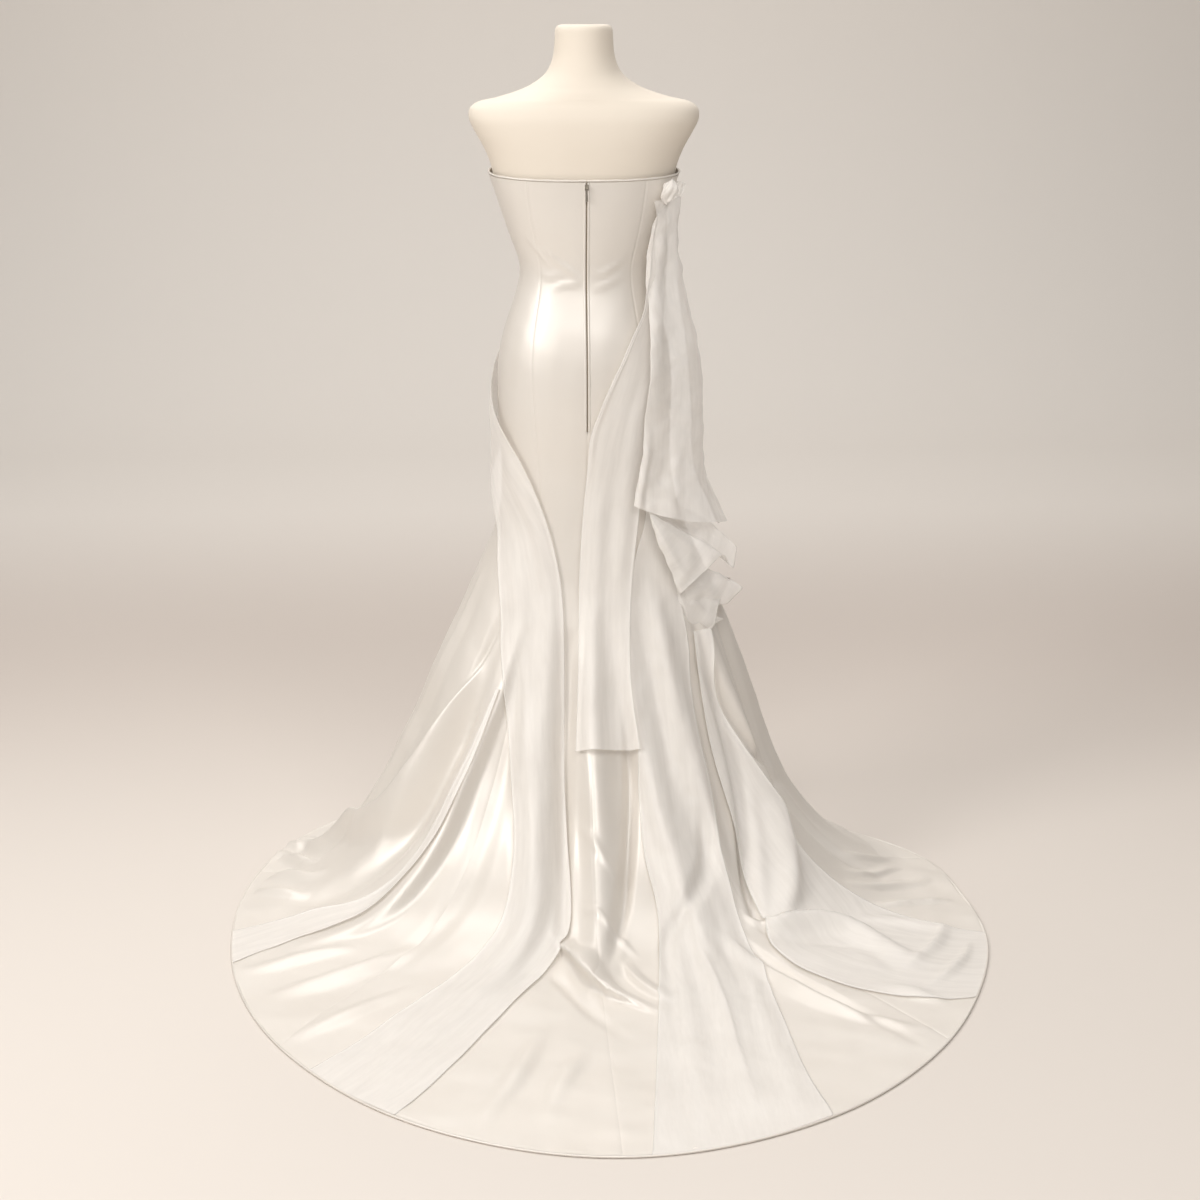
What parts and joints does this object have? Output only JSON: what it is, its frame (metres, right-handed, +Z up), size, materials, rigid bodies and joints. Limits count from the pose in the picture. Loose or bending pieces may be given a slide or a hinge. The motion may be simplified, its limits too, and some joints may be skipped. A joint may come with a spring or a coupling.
{
  "type": "wedding dress on dress form",
  "caption": "Strapless fitted satin wedding dress with a back zip, a long round train and draped organza panels with a knotted cascade, on a limbless dress form.",
  "frame": {"origin": "centre of the dress form's base underside, on the floor under its pole", "axes": "+Z up along the pole; the dress faces -Y and its train runs towards +Y; +X is the wearer's left"},
  "size_m": [1.3238, 1.5959, 1.551],
  "materials": {
    "satin": "ivory duchess satin, soft directional sheen",
    "organza": "off-white silk organza, slightly see-through",
    "form_cover": "cream stretched jersey cover, matt",
    "nickel": "satin nickel plate",
    "painted_steel": "cream powder coat",
    "zip_coil": "woven nylon coil, taupe"
  },
  "bodies": {
    "root": {"form_base": "painted_steel", "form_collar": "painted_steel", "form_pole": "painted_steel", "form_torso": "form_cover", "gown_centre_back_left": "satin", "gown_centre_back_right": "satin", "gown_centre_front": "satin", "gown_side_back_left": "satin", "gown_side_back_right": "satin", "gown_side_front_left": "satin", "gown_side_front_right": "satin", "organza_cascade_lower": "organza", "organza_cascade_middle": "organza", "organza_cascade_upper": "organza", "organza_centre_tail": "organza", "organza_knot": "organza", "organza_knot_loop": "organza", "organza_left_narrow": "organza", "organza_left_wide": "organza", "organza_long_panel": "organza", "organza_right_strip": "organza", "top_binding": "satin", "zip_chain": "zip_coil", "zip_fold_left": "satin", "zip_fold_right": "satin", "zip_slider": "nickel"},
    "pull_tab": {"pull_tab": "nickel"}
  },
  "joints": [
    {"name": "pull_tab_hinge", "type": "hinge", "parent": "root", "child": "pull_tab", "pos_m": [0, 0.10537, 1.2795], "axis": [1, 0, 0], "range_deg": [0, 150]}
  ]
}
